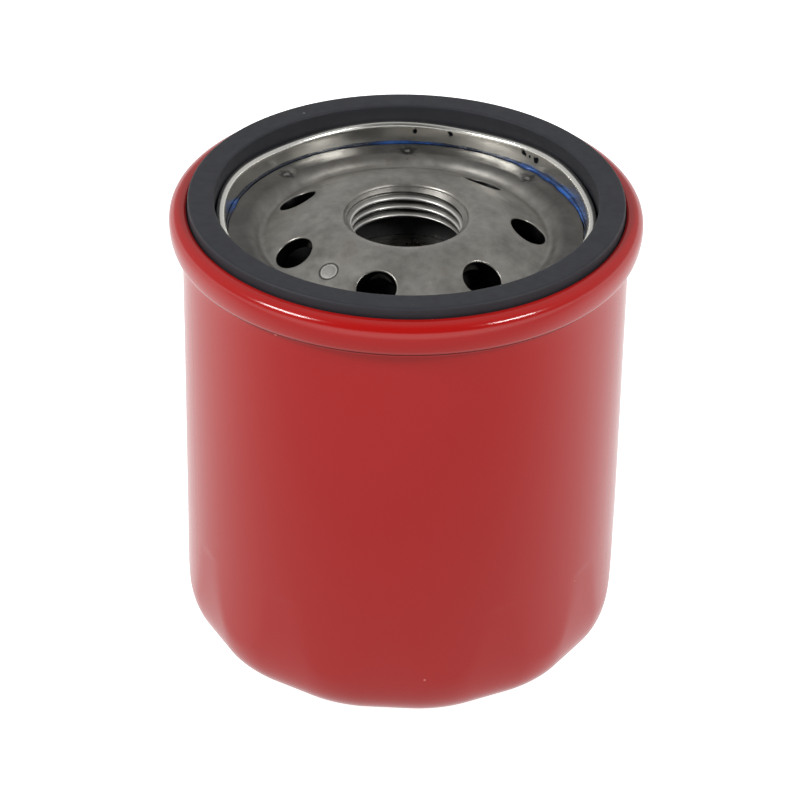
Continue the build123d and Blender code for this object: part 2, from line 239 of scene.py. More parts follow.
@dataclass
class Skin:
    """A mesh gathered from stacks of rings, in millimetres."""

    name: str
    points: list[np.ndarray] = field(default_factory=list)
    faces: list[list[int]] = field(default_factory=list)
    size: int = 0

    def add(self, rings: np.ndarray, ends: Ends) -> "Skin":
        """Adds one stack of rings.

        Args:
            rings: points as (rings, around, 3), the metal on the left of the path.
            ends: how the first and last rings are finished.

        Returns:
            This skin, so that calls can be chained.
        """
        count, around, _ = rings.shape
        self.faces += ring_faces(count, around, self.size, ends)
        self.points.append(rings.reshape(-1, 3))
        if ends is Ends.POLES:
            self.points.append(np.stack([rings[0].mean(axis=0), rings[-1].mean(axis=0)]))
        self.size = sum(len(p) for p in self.points)
        return self

    def build(self, weld: bool = False) -> bpy.types.Object:
        """Makes the mesh object, in metres.

        Args:
            weld: whether points of neighbouring stacks are merged.

        Returns:
            The new object, linked to the scene.
        """
        mesh = bpy.data.meshes.new(self.name)
        mesh.from_pydata(np.vstack(self.points) * MM, [], self.faces)
        if weld:
            work = bmesh.new()
            work.from_mesh(mesh)
            bmesh.ops.remove_doubles(work, verts=work.verts, dist=2e-6)
            work.to_mesh(mesh)
            work.free()
        mesh.polygons.foreach_set("use_smooth", np.ones(len(mesh.polygons), bool))
        mesh.update()
        obj = bpy.data.objects.new(self.name, mesh)
        bpy.context.scene.collection.objects.link(obj)
        return obj


Bent = tuple[np.ndarray, np.ndarray]
Warp = Callable[[np.ndarray, np.ndarray, np.ndarray], Bent]


def turned_rings(line: np.ndarray, around: int, warp: Optional[Warp] = None) -> np.ndarray:
    """A profile carried round the axis, its radius and height bent by a warp.

    Args:
        line: profile as radius and height.
        around: number of points in a turn.
        warp: function of radius, azimuth and height that gives both anew.

    Returns:
        Rings as (profile, around, 3).
    """
    azimuth = np.arange(around)[None, :] * TURN / around
    radius, azimuth, height = np.broadcast_arrays(line[:, :1], azimuth, line[:, 1:])
    if warp is not None:
        radius, height = warp(radius, azimuth, height)
    return polar(radius, azimuth, height)


def turned_piece(
    name: str, section: np.ndarray, around: int, warp: Optional[Warp] = None
) -> bpy.types.Object:
    """Ring-shaped piece from a closed section carried round the axis.

    Args:
        name: name of the piece.
        section: closed section as radius and height.
        around: number of points in a turn.
        warp: optional bending of radius and height.

    Returns:
        The finished object.
    """
    rings = turned_rings(anticlockwise(section), around, warp)
    return Skin(name).add(rings, Ends.JOINED).build()


# ---------------------------------------------------------------------------
# Shader wiring and shared effects
# ---------------------------------------------------------------------------


class Wiring:
    """Short forms for adding and joining nodes in one node tree."""

    def __init__(self, tree: NodeTree) -> None:
        """Keeps the tree that nodes are added to."""
        self.tree = tree

    def add(self, kind: str, settings: Optional[dict[str, Any]] = None, **feeds: Any) -> bpy.types.Node:
        """Adds a node.

        Args:
            kind: the node's type, without the leading ShaderNode.
            settings: properties of the node.
            feeds: inputs by name, with _ for a space or a number after "i".

        Returns:
            The new node.
        """
        node = self.tree.nodes.new(kind if kind.startswith("Node") else "ShaderNode" + kind)
        for key, value in (settings or {}).items():
            setattr(node, key, value)
        for key, value in feeds.items():
            self.feed(node, key, value)
        return node

    def feed(self, node: bpy.types.Node, key: str, value: Any) -> None:
        """Links a socket into an input, or sets the input's own value."""
        numbered = key[0] == "i" and key[1:].isdigit()
        socket = node.inputs[int(key[1:])] if numbered else node.inputs[key.replace("_", " ")]
        if isinstance(value, Socket):
            self.tree.links.new(value, socket)
        elif isinstance(value, tuple) and len(value) == 3 and socket.type == "RGBA":
            socket.default_value = (*value, 1.0)
        else:
            socket.default_value = value

    def math(self, operation: str, a: Any, b: Any = 0.0, clamp: bool = False) -> Socket:
        """Result of one arithmetic step on two numbers."""
        return self.add("Math", {"operation": operation, "use_clamp": clamp}, i0=a, i1=b).outputs[0]

    def span(
        self, value: Any, low: float, high: float, out_low: float = 0.0, out_high: float = 1.0
    ) -> Socket:
        """Value eased from one range to another, held at the ends."""
        feeds = dict(Value=value, From_Min=low, From_Max=high, To_Min=out_low, To_Max=out_high)
        node = self.add("MapRange", {"interpolation_type": "SMOOTHSTEP"}, **feeds)
        return node.outputs[0]

    def sharpened(self, value: Any, contrast: Any) -> Socket:
        """Value spread about its middle by a contrast and held between 0 and 1."""
        centred = self.math("MULTIPLY", self.math("SUBTRACT", value, 0.5), contrast)
        return self.math("ADD", centred, 0.5, clamp=True)

    def mixed(self, main: Any, other: Any) -> Socket:
        """Three parts of one value to two of another."""
        return self.math("ADD", self.math("MULTIPLY", main, 0.6), self.math("MULTIPLY", other, 0.4))

    def distance(self, a: Any, b: Any) -> Socket:
        """Distance between two places."""
        return self.add("VectorMath", {"operation": "DISTANCE"}, i0=a, i1=b).outputs["Value"]

    def radius(self, parts: Any) -> Socket:
        """Distance from the axis of a place split into its parts."""
        squares = [self.math("MULTIPLY", p, p) for p in parts[:2]]
        return self.math("SQRT", self.math("ADD", *squares))

    def blend(self, share: Any, a: Any, b: Any) -> Socket:
        """Colour between two colours by a share."""
        node = self.add("Mix", {"data_type": "RGBA"}, i0=share)
        self.feed(node, "i6", a)
        self.feed(node, "i7", b)
        return node.outputs[2]

    def noise(
        self, place: Any, scale: float, detail: float = 3.0, roughness: float = 0.5
    ) -> Socket:
        """Value of a noise texture at a place."""
        node = self.add("TexNoise", Vector=place, Scale=scale, Detail=detail, Roughness=roughness)
        return node.outputs["Fac"]


class Effect(Enum):
    """Effects that more than one finish uses, each one shader node group."""

    MOTTLE = "uneven_tone"
    GRAIN = "fine_grain"
    DUST = "dust_specks"
    HOOPS = "round_streaks"
    SPOT = "single_spot"


class EffectShelf:
    """Builds each shared effect once and places it in materials."""

    def __init__(self) -> None:
        """Starts with nothing built."""
        self.built: dict[Effect, NodeTree] = {}

    def place(self, wiring: Wiring, effect: Effect, **feeds: Any) -> Socket:
        """Adds an effect to a material.

        Args:
            wiring: the material's wiring.
            effect: which effect.
            feeds: the group's inputs by name.

        Returns:
            The effect's one output.
        """
        if effect not in self.built:
            self.built[effect] = self.make(effect)
        node = wiring.add("Group", {"node_tree": self.built[effect]})
        for key, value in feeds.items():
            wiring.feed(node, key, value)
        return node.outputs[0]

    def spotted(self, w: Wiring, place: Any, at: Triple, size: float) -> Socket:
        """Share of one ragged spot at a radius, azimuth in degrees and height."""
        x, y, z = polar(np.array(at[0]), np.radians(at[1]), np.array(at[2])) * MM
        return self.place(w, Effect.SPOT, Place=place, East=x, North=y, Up=z, Size=size * MM)

    def make(self, effect: Effect) -> NodeTree:
        """Builds an effect's node group.

        Args:
            effect: which effect.

        Returns:
            The finished group.
        """
        inputs = {
            Effect.MOTTLE: ("Scale", "Contrast"),
            Effect.GRAIN: ("Scale", "Roughness"),
            Effect.DUST: ("Scale", "Size", "Amount"),
            Effect.HOOPS: ("Scale", "Contrast"),
            Effect.SPOT: ("East", "North", "Up", "Size"),
        }[effect]
        tree = bpy.data.node_groups.new(effect.value, "ShaderNodeTree")
        tree.interface.new_socket("Place", in_out="INPUT", socket_type="NodeSocketVector")
        for name in inputs:
            tree.interface.new_socket(name, in_out="INPUT", socket_type="NodeSocketFloat")
        tree.interface.new_socket("Value", in_out="OUTPUT", socket_type="NodeSocketFloat")
        w = Wiring(tree)
        source = w.add("NodeGroupInput").outputs
        result = getattr(self, effect.name.lower())(w, source)
        w.add("NodeGroupOutput", i0=result)
        return tree

    @staticmethod
    def mottle(w: Wiring, source: Any) -> Socket:
        """Cloudy tone: coarse noise bent by a finer one, sharpened by the contrast."""
        coarse = w.noise(source["Place"], source["Scale"], 5.0, 0.62)
        finer = w.noise(source["Place"], w.math("MULTIPLY", source["Scale"], 3.7), 4.0, 0.6)
        mixed = w.math("ADD", w.math("MULTIPLY", coarse, 0.65), w.math("MULTIPLY", finer, 0.35))
        return w.sharpened(mixed, source["Contrast"])

    @staticmethod
    def grain(w: Wiring, source: Any) -> Socket:
        """Fine even roughness for bumps and gloss."""
        node = w.add("TexNoise", Vector=source["Place"], Scale=source["Scale"], Detail=6.0)
        w.feed(node, "Roughness", source["Roughness"])
        return node.outputs["Fac"]

    @staticmethod
    def dust(w: Wiring, source: Any) -> Socket:
        """Sparse specks: cells whose centre is near and whose random number is high."""
        cells = w.add("TexVoronoi", Vector=source["Place"], Scale=source["Scale"], Randomness=1.0)
        near = w.math("LESS_THAN", cells.outputs["Distance"], source["Size"])
        pick = w.add("SeparateColor", Color=cells.outputs["Color"]).outputs[0]
        kept = w.math("GREATER_THAN", pick, w.math("SUBTRACT", 1.0, source["Amount"]))
        return w.math("MULTIPLY", near, kept)

    @staticmethod
    def hoops(w: Wiring, source: Any) -> Socket:
        """Streaks that run round the axis: noise over radius and height, slow in angle."""
        parts = w.add("SeparateXYZ", Vector=source["Place"]).outputs
        radius = w.radius(parts)
        angle = w.math("ARCTAN2", parts[1], parts[0])
        rise = w.add("CombineXYZ", X=radius, Y=parts[2], Z=w.math("MULTIPLY", angle, 0.0006))
        value = w.noise(rise.outputs[0], source["Scale"], 4.0, 0.6)
        return w.sharpened(value, source["Contrast"])

    @staticmethod
    def spot(w: Wiring, source: Any) -> Socket:
        """One ragged spot: full inside its size, gone at twice its size."""
        centre = w.add("CombineXYZ", X=source["East"], Y=source["North"], Z=source["Up"]).outputs[0]
        away = w.distance(source["Place"], centre)
        ragged = w.math("MULTIPLY", w.noise(source["Place"], 1500.0, 2.0), 1.6)
        share = w.math("DIVIDE", w.math("MULTIPLY", away, w.math("ADD", ragged, 0.2)), source["Size"])
        return w.math("SUBTRACT", 1.0, w.span(share, 0.8, 1.3))


SHELF = EffectShelf()
Colour = Triple


@dataclass(frozen=True)
class Finish:
    """A plain procedural finish: mottled colour, grained gloss and a fine bump."""

    name: str
    colour: Colour
    shade: Colour
    metallic: float = 0.0
    gloss: tuple[float, float] = (0.35, 0.5)
    mottle_scale: float = 60.0
    mottle_contrast: float = 1.6
    grain_scale: float = 900.0
    bump: float = 0.00004
    dust: float = 0.0
    dust_colour: Colour = (0.5, 0.5, 0.48)
    specular: float = 0.5

    def start(self) -> tuple[Material, Wiring, bpy.types.Node, Socket]:
        """Makes the material with its shader and its place in object space."""
        material = bpy.data.materials.new(self.name)
        material.use_nodes = True
        wiring = Wiring(material.node_tree)
        shader = material.node_tree.nodes["Principled BSDF"]
        place = wiring.add("TexCoord").outputs["Object"]
        return material, wiring, shader, place

    def tone(self, w: Wiring, place: Any) -> Socket:
        """Colour over the surface."""
        clouds = dict(Scale=self.mottle_scale, Contrast=self.mottle_contrast)
        share = SHELF.place(w, Effect.MOTTLE, Place=place, **clouds)
        colour = w.blend(share, self.shade, self.colour)
        if self.dust:
            specks = SHELF.place(w, Effect.DUST, Place=place, Scale=700.0, Size=0.16, Amount=self.dust)
            colour = w.blend(specks, colour, self.dust_colour)
        return colour

    def relief(self, w: Wiring, place: Any) -> Socket:
        """Height of the surface's fine texture, from 0 to 1."""
        return SHELF.place(w, Effect.GRAIN, Place=place, Scale=self.grain_scale, Roughness=0.6)

    def sheen(self, w: Wiring, place: Any) -> Socket:
        """Roughness over the surface."""
        value = SHELF.place(w, Effect.GRAIN, Place=place, Scale=self.mottle_scale * 2.3, Roughness=0.65)
        return w.span(value, 0.3, 0.7, *self.gloss)

    def extra(self, w: Wiring, shader: bpy.types.Node, place: Any) -> None:
        """Hook for finishes that set more of the shader."""

    def material(self) -> Material:
        """Builds the material.

        Returns:
            The finished material.
        """
        material, w, shader, place = self.start()
        w.feed(shader, "Base_Color", self.tone(w, place))
        w.feed(shader, "Roughness", self.sheen(w, place))
        shader.inputs["Metallic"].default_value = self.metallic
        shader.inputs["Specular IOR Level"].default_value = self.specular
        bump = w.add("Bump", Strength=1.0, Distance=self.bump, Height=self.relief(w, place))
        w.feed(shader, "Normal", bump.outputs[0])
        self.extra(w, shader, place)
        return material


@dataclass(frozen=True)
class Enamel(Finish):
    """Baked gloss enamel on steel: orange peel, small pits, dust, a clear top, and painted shade in the
    crease under the seam.
    """

    coat: float = 0.1
    # Painted shade: the band under the seam at this height and half width, in metres, is darkened to the
    # colour below.
    crease: tuple[float, float] = (0.0711, 0.0007)
    painted_crease_shade: Colour = (0.07, 0.004, 0.003)

    def tone(self, w: Wiring, place: Any) -> Socket:
        """Even red, with painted shade darkening the crease under the seam."""
        return w.blend(self.in_crease(w, place, 0.0, 0.9), super().tone(w, place), self.painted_crease_shade)

    def in_crease(self, w: Wiring, place: Any, beside: float, inside: float) -> Socket:
        """Value that changes from one beside the crease to another in it."""
        height = w.add("SeparateXYZ", Vector=place).outputs[2]
        away = w.math("ABSOLUTE", w.math("SUBTRACT", height, self.crease[0]))
        return w.span(away, 0.3 * self.crease[1], self.crease[1], inside, beside)

    def relief(self, w: Wiring, place: Any) -> Socket:
        """Soft orange peel with a few pits under the gloss."""
        peel = SHELF.place(w, Effect.GRAIN, Place=place, Scale=self.grain_scale, Roughness=0.35)
        pits = SHELF.place(w, Effect.DUST, Place=place, Scale=420.0, Size=0.1, Amount=0.02)
        return w.math("SUBTRACT", peel, w.math("MULTIPLY", pits, 0.5))

    def extra(self, w: Wiring, shader: bpy.types.Node, place: Any) -> None:
        """Adds the clear top layer and, for the painted shade, takes the reflection and the clear top out of
        the crease.
        """
        w.feed(shader, "Specular_IOR_Level", self.in_crease(w, place, 0.5, 0.02))
        w.feed(shader, "Coat_Weight", self.in_crease(w, place, self.coat, 0.0))
        shader.inputs["Coat Roughness"].default_value = 0.07
        shader.inputs["Coat IOR"].default_value = 1.5


@dataclass(frozen=True)
class SpunSteel(Finish):
    """Bright drawn sheet with streaks round the axis."""

    streak_scale: float = 2500.0

    def relief(self, w: Wiring, place: Any) -> Socket:
        """Streaks over fine grain."""
        streaks = SHELF.place(w, Effect.HOOPS, Place=place, Scale=self.streak_scale, Contrast=1.4)
        return w.mixed(streaks, super().relief(w, place))


@dataclass(frozen=True)
class LipSteel(SpunSteel):
    """Bright lip with specks of dark compound."""

    speck: Colour = (0.012, 0.016, 0.026)
    reach: float = 29.35
    specks: Marks = (
        (177.5, 74.5, 0.42),
        (166.0, 74.72, 0.5),
        (139.0, 74.7, 0.5),
        (136.4, 74.5, 0.3),
        (133.5, 74.35, 0.62),
    )

    def tone(self, w: Wiring, place: Any) -> Socket:
        """Steel with the specks, each at an azimuth and a height and with a size."""
        colour = super().tone(w, place)
        for azimuth, height, size in self.specks:
            mark = SHELF.spotted(w, place, (self.reach, azimuth, height), size)
            colour = w.blend(mark, colour, self.speck)
        return colour


@dataclass(frozen=True)
class StampedPlate(Finish):
    """Dull pressed plate with oil clouds, tan stains, scuffs and weld burn marks, plus painted shade in the
    holes, the thread roots and over the outer ring, and painted highlights on the thread crests and the
    coined dot's edge.
    """

    stain: Colour = (0.10, 0.062, 0.036)
    # Dark colour: the burn of the weld marks, and also painted shade over the outer ring and in the coined
    # dot's ring line.
    scuff: Colour = (0.5, 0.5, 0.48)
    burn_and_shade: Colour = (0.03, 0.03, 0.03)
    # Pale colour of the weld middles and the coined dot, also used for painted highlights on the dot's edge
    # and the thread crests.
    bright: Colour = (0.8, 0.79, 0.76)
    # Near-black painted shade for the holes and the thread roots.
    painted_recess_shade: Colour = (0.006, 0.006, 0.006)
    # Radii in metres over which painted shade darkens the valley and the outer ring by the lip wall.
    painted_rim_shade: tuple[float, float] = (0.0225, 0.026)
    hole_band: tuple[float, float] = (0.0163, 0.0232)

    def tone(self, w: Wiring, place: Any) -> Socket:
        """Mottled grey with stains, scuffs and marks, painted shade over the outer ring and in the thread
        roots and holes, and painted highlights on the thread crests.
        """
        base = super().tone(w, place)
        cloud = SHELF.place(w, Effect.MOTTLE, Place=place, Scale=70.0, Contrast=3.0)
        colour = w.blend(w.span(cloud, 0.7, 1.0, 0.0, 0.5), base, self.stain)
        scuffs = SHELF.place(w, Effect.DUST, Place=place, Scale=900.0, Size=0.16, Amount=0.05)
        colour = w.blend(w.math("MULTIPLY", scuffs, 0.25), colour, self.scuff)
        plate = BasePlate()
        colour = self.coined(w, place, plate, self.welded(w, place, plate, colour))
        parts = w.add("SeparateXYZ", Vector=place).outputs
        radius = w.radius(parts)
        # Painted shade: darker outwards towards the lip wall.
        colour = w.blend(w.span(radius, *self.painted_rim_shade, 0.0, 0.62), colour, self.burn_and_shade)
        colour = self.tapped(w, parts, radius, plate, colour)
        # Painted shade inside the holes.
        return w.blend(self.in_hole(w, parts, radius, plate), colour, self.painted_recess_shade)

    def welded(self, w: Wiring, place: Any, plate: "BasePlate", colour: Any) -> Socket:
        """Burnt spots with a bright middle at the weld marks."""
        for at in plate.weld_places:
            for tint, size in ((self.burn_and_shade, 1.15), (self.bright, 0.42)):
                mark = SHELF.spotted(w, place, (plate.weld_reach, at, plate.ring_top), size)
                colour = w.blend(w.math("MULTIPLY", mark, 0.75), colour, tint)
        return colour

    def coined(self, w: Wiring, place: Any, plate: "BasePlate", colour: Any) -> Socket:
        """Paler dot with a painted highlight round its edge, inside a ring line of painted shade."""
        reach, at, size = plate.coin
        x, y, z = polar(np.array(reach), np.radians(at), plate.height(np.array(reach))) * MM
        centre = w.add("CombineXYZ", X=float(x), Y=float(y), Z=float(z)).outputs[0]
        away = w.distance(place, centre)
        off_line = w.math("ABSOLUTE", w.math("SUBTRACT", away, (size + 0.2) * MM))
        # Painted shade along the pressed ring line.
        groove_shade = w.span(off_line, 0.05 * MM, 0.22 * MM, 0.8, 0.0)
        inside = w.span(away, (size - 0.05) * MM, size * MM, 0.22, 0.0)
        colour = w.blend(inside, colour, self.bright)
        # Painted highlight round the dot's edge.
        off_edge = w.math("ABSOLUTE", w.math("SUBTRACT", away, (size - 0.1) * MM))
        edge = w.span(off_edge, 0.03 * MM, 0.14 * MM, 0.55, 0.0)
        return w.blend(groove_shade, w.blend(edge, colour, self.bright), self.burn_and_shade)

    def tapped(self, w: Wiring, parts: Any, radius: Any, plate: "BasePlate", colour: Any) -> Socket:
        """Painted highlights on the thread crests and painted shade in the roots, darker deeper down, inside
        the mouth only.
        """
        crest = w.span(radius, (plate.minor + 0.1) * MM, (plate.minor + 0.35) * MM, 1.0, 0.0)
        root = w.span(radius, (plate.major - 0.4) * MM, (plate.major - 0.1) * MM)
        bore = w.span(radius, (plate.mouth - 0.1) * MM, plate.mouth * MM, 1.0, 0.0)
        root = w.math("MULTIPLY", root, w.span(parts[2], 73.5 * MM, 73.9 * MM, 0.9, 0.1))
        # Painted highlight on the thread crests.
        colour = w.blend(w.math("MULTIPLY", bore, crest), colour, self.bright)
        # Painted shade in the thread roots.
        return w.blend(w.math("MULTIPLY", bore, root), colour, self.painted_recess_shade)

    def in_hole(self, w: Wiring, parts: Any, radius: Any, plate: "BasePlate") -> Socket:
        """Share of the inlets' walls, where painted shade goes: below the sloping top, at the inlets' radii.
        """
        drop = w.math("SUBTRACT", radius, plate.inlet_reach * MM)
        drop = w.math("MULTIPLY", drop, math.tan(plate.slope))
        deep = w.math("SUBTRACT", w.math("SUBTRACT", plate.inlet_top * MM, drop), parts[2])
        inner, outer = self.hole_band
        within = w.math(
            "MULTIPLY",
            w.span(radius, inner, inner + 0.5 * MM),
            w.span(radius, outer - 0.5 * MM, outer, 1.0, 0.0),
        )
        return w.math("MULTIPLY", within, w.span(deep, 0.12 * MM, 0.3 * MM))


@dataclass(frozen=True)
class Compound(Finish):
    """Sealing compound that runs from a thinner dark bead, part painted shade, to bright and thick round the
    joint.
    """

    # Dark navy of the thinner bead, made near-black as painted shade in the corner at the lip's foot.
    thin_and_shaded: Colour = (0.004, 0.010, 0.03)
    thick_from: float = 98.0
    thick_to: float = 150.0

    def tone(self, w: Wiring, place: Any) -> Socket:
        """Bright where the joint is thick, some blue at the back, and elsewhere a dark navy that is partly
        painted shade; all broken up.
        """
        base = super().tone(w, place)
        parts = w.add("SeparateXYZ", Vector=place).outputs
        turn = w.math("ARCTAN2", parts[0], w.math("MULTIPLY", parts[1], -1.0))
        rise = w.span(turn, math.radians(self.thick_from - 6), math.radians(self.thick_from + 6))
        fall = w.span(turn, math.radians(self.thick_to - 22), math.radians(self.thick_to + 4), 1.0, 0.0)
        back = w.span(w.math("ABSOLUTE", turn), math.radians(166), math.radians(174), 0.0, 0.4)
        share = w.math("MAXIMUM", w.math("MULTIPLY", rise, fall), back)
        off_blob = w.math("ABSOLUTE", w.math("ADD", turn, math.radians(103)))
        near = w.math("SUBTRACT", 1.0, w.span(off_blob, 0.04, 0.11))
        broken = w.span(w.noise(place, 420.0, 3.0), 0.34, 0.62, 0.3, 1.0)
        return w.blend(w.math("MULTIPLY", w.math("MAXIMUM", share, near), broken), self.thin_and_shaded, base)


@dataclass(frozen=True)
class FilterPaper(Finish):
    """Resin-soaked paper with fibres lying along the sheet."""

    def relief(self, w: Wiring, place: Any) -> Socket:
        """Long fibres over short ones."""
        stretched = w.add("Mapping", Vector=place, Scale=(1.0, 1.0, 0.15)).outputs[0]
        fibres = w.noise(stretched, 5200.0, 4.0, 0.7)
        return w.mixed(fibres, super().relief(w, place))


# ---------------------------------------------------------------------------
# The filter's pieces
# ---------------------------------------------------------------------------


def place_piece(
    obj: bpy.types.Object, finish: Material, body: str, slot: str, *stands_for: str
) -> None:
    """Dresses a finished piece and ties it to the frame.

    Args:
        obj: the piece.
        finish: its material.
        body: the CAD body that it rides on.
        slot: the record's material slot; not used.
        stands_for: CAD nodes that it replaces.
    """
    obj.data.materials.append(finish)
    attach(obj, body)
    if stands_for:
        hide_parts(*stands_for)
    LOG.info("%s: %d faces", obj.name, len(obj.data.polygons))


@dataclass
class Can:
    """Drawn can: twelve-sided closed end, slightly tapered wall and body hook."""

    wall: float = 0.55
    barrel_top: float = 35.9
    barrel_low: float = 35.45
    taper_from: float = 18.4
    neck: float = 70.1
    facets: int = 12
    first_facet: float = math.radians(-2.6)
    foot_radius: float = 1.6
    foot_tilt: float = math.radians(41)
    flank_lean: float = 0.0145
    flank_line: float = 35.12
    flank_cut: float = 4.57
    flank_fade: float = 3.1
    ridge_round: float = 2.6
    arch_round: float = 0.14
    disc_depth: float = 0.9
    hook_in: float = 35.95
    hook_out: float = 37.0
    hook_top: float = 74.9
    hook_end: float = 73.6
    around: int = 360

    def barrel(self, z: np.ndarray) -> np.ndarray:
        """Radius of the plain wall: an even taper, opened out under the seam."""
        share = np.clip((z - self.taper_from) / (self.neck - self.taper_from), 0, 1)
        rise = np.clip((z - self.neck) / 1.1, 0, 1)
        neck = (self.hook_in + self.wall / 2 - self.barrel_top) * rise**2 * (3 - 2 * rise)
        return self.barrel_low + (self.barrel_top - self.barrel_low) * share + neck

    def flank(self, z: np.ndarray) -> np.ndarray:
        """Distance of a facet from the axis: a leaning line less an exponential at the foot."""
        rise = self.flank_lean * z + 0.15 * np.maximum(z - 20.0, 0)
        return self.flank_line + rise - self.flank_cut * np.exp(-z / self.flank_fade)

    def outline(self, azimuth: np.ndarray, z: np.ndarray) -> np.ndarray:
        """Radius of the outside: the nearer of the facet planes and the plain wall, eased.

        A plane at distance d whose centre lies an angle b away is met at d / cos b.

        Args:
            azimuth: angles in radians.
            z: heights.

        Returns:
            Radii of the outside.
        """
        sector = TURN / self.facets
        off = (azimuth - self.first_facet + sector / 2) % sector - sector / 2
        near = self.flank(z) / np.cos(off)
        beside = self.flank(z) / np.cos(sector - np.abs(off))
        prism = smooth_min(near, beside, self.ridge_round)
        return smooth_min(prism, self.barrel(z), self.arch_round)

    @staticmethod
    def stretch(round_radius: Any, facet_share: Any, level: Any, inset: Any, z: Any) -> np.ndarray:
        """Rows of the ring plan: circle radius, share of the outline, its level, inset and height."""
        columns = np.broadcast_arrays(round_radius, facet_share, level, inset, z)
        return np.stack(columns, axis=-1).reshape(-1, 5)

    def foot(self) -> np.ndarray:
        """Ring plan of the underside: recessed disc, flat and rounded foot."""
        disc = np.array([
            (4, 1), (10, 1), (16, 1), (18.9, 1), (19.6, 0.93),
            (20.1, 0.7), (20.6, 0.3), (21.0, 0.06), (21.5, 0), (22.5, 0),
        ])
        share = np.linspace(0, 1, 8)[1:]
        tilt = np.linspace(0, self.foot_tilt, 9)
        level = self.foot_radius * (1 - math.cos(tilt[-1]))
        reach = self.foot_radius * (math.sin(tilt[-1]) - np.sin(tilt))
        return np.vstack([
            self.stretch(disc[:, 0], 0, 0, 0, disc[:, 1] * self.disc_depth),
            self.stretch(22.5, share[:-1], level, reach[0], 0),
            self.stretch(0, 1, level, reach, self.foot_radius * (1 - np.cos(tilt))),
        ])

    def plan(self) -> np.ndarray:
        """Whole ring plan, from the underside's middle out, up, over the hook and down inside."""
        low = self.foot_radius * (1 - math.cos(self.foot_tilt))
        outside = np.concatenate([
            np.linspace(low, 24, 52)[1:],
            np.linspace(24, self.neck, 20)[1:],
            self.neck + np.linspace(0, 1.15, 8)[1:],
        ])
        turn = [
            (self.hook_in, 71.3, 0), (self.hook_in, self.hook_top, 0.58),
            (self.hook_out, self.hook_top, 0.58), (self.hook_out, self.hook_end, 0),
        ]
        hook = sheet_section(spaced(eased_line(turn, False), 0.8), self.wall)
        inside = np.concatenate([np.linspace(71, 24, 14), np.linspace(24, 1.6, 30)[1:]])
        disc = np.array([(22.6, 0), (21.9, 0), (21.2, 0.5), (20.5, 1), (12, 1), (4, 1)])
        return np.vstack([
            self.foot(),
            self.stretch(0, 1, outside, 0, outside),
            self.stretch(hook[:, 0], 0, 0, 0, hook[:, 1]),
            self.stretch(0, 1, inside - self.wall, self.wall, inside),
            self.stretch(0, 1, 0.6, np.array([0.75, 1.1, 1.6]), self.wall + np.array([0.45, 0.12, 0.0])),
            self.stretch(disc[:, 0], 0, 0, 0, self.wall + disc[:, 1] * self.disc_depth),
        ])

    def build(self, finish: Material) -> None:
        """Makes the can and dresses it."""
        circle, share, level, inset, z = (column[:, None] for column in self.plan().T)
        azimuth = np.arange(self.around)[None, :] * TURN / self.around
        wave = 0.02 * ripple(azimuth, 11, 2, 6) * np.sin(math.pi * np.clip((level - 22) / 44, 0, 1))
        radius = circle * (1 - share) + share * (self.outline(azimuth, level + 0 * azimuth) - inset + wave)
        rings = polar(radius, azimuth, z)
        place_piece(Skin("can").add(rings, Ends.POLES).build(), finish, FIXED, "can_paint", "can")


@dataclass
class SeamingLid:
    """Thin lid: flange, staked inner lip, gasket channel and the rolled seam."""

    sheet: float = 0.55
    lip_foot: float = 28.9
    lip_inner: float = 29.55
    lip_outer: float = 30.45
    lip_top: float = 75.67
    stakes: int = 6
    first_stake: float = math.radians(7)
    stake_lean: float = 0.13
    stake_drop: float = 0.19
    around: int = 432

    def centre_line(self) -> np.ndarray:
        """Middle of the sheet, from the flange's edge to the end of the cover hook."""
        corners = [
            (25.5, 69.675, 0), (self.lip_foot, 69.675, 0.45),
            (self.lip_inner, self.lip_top, 0.44), (self.lip_outer, self.lip_top, 0.44),
            (self.lip_outer, 73.125, 0.4), (35.38, 73.125, 0.4),
            (35.38, 76.52, 0.45), (37.74, 76.52, 1.9),
            (37.78, 73.4, 1.2), (37.3, 71.75, 0.5), (36.8, 71.25, 0.25),
            (36.53, 71.4, 0.15), (36.53, 74.0, 0),
        ]
        return spaced(eased_line(corners, False, 8), 0.45)

    def lip_warp(self, radius: np.ndarray, azimuth: np.ndarray, height: np.ndarray) -> Bent:
        """Stakes stand out and up; between them the lip leans in and sinks, by a cosine."""
        share = np.clip((height - 73.2) / 2.6, 0, 1) * (radius < 31.5)
        share = share**2 * (3 - 2 * share)
        wave = np.cos(self.stakes * (azimuth - self.first_stake)) - 1 + 0.18 * ripple(azimuth, 5, 2, 9)
        seam = 0.03 * ripple(azimuth, 8, 2, 7) * (radius > 36.9)
        return radius + self.stake_lean * wave * share + seam, height + self.stake_drop * wave * share

    def build(self, paint: Material, bare: Material) -> None:
        """Makes the lid; faces outside the gasket are painted and the rest is bare steel."""
        section = sheet_section(self.centre_line(), self.sheet)
        obj = turned_piece("seaming_lid", section, self.around, self.lip_warp)
        obj.data.materials.append(bare)
        place_piece(obj, paint, FIXED, "lid_steel", "seaming_lid")
        centres = np.empty(len(obj.data.polygons) * 3)
        obj.data.polygons.foreach_get("center", centres)
        centres = centres.reshape(-1, 3) / MM
        outer = np.hypot(centres[:, 0], centres[:, 1]) > 35.2
        obj.data.polygons.foreach_set("material_index", outer.astype(np.int32))
        obj.data.update()


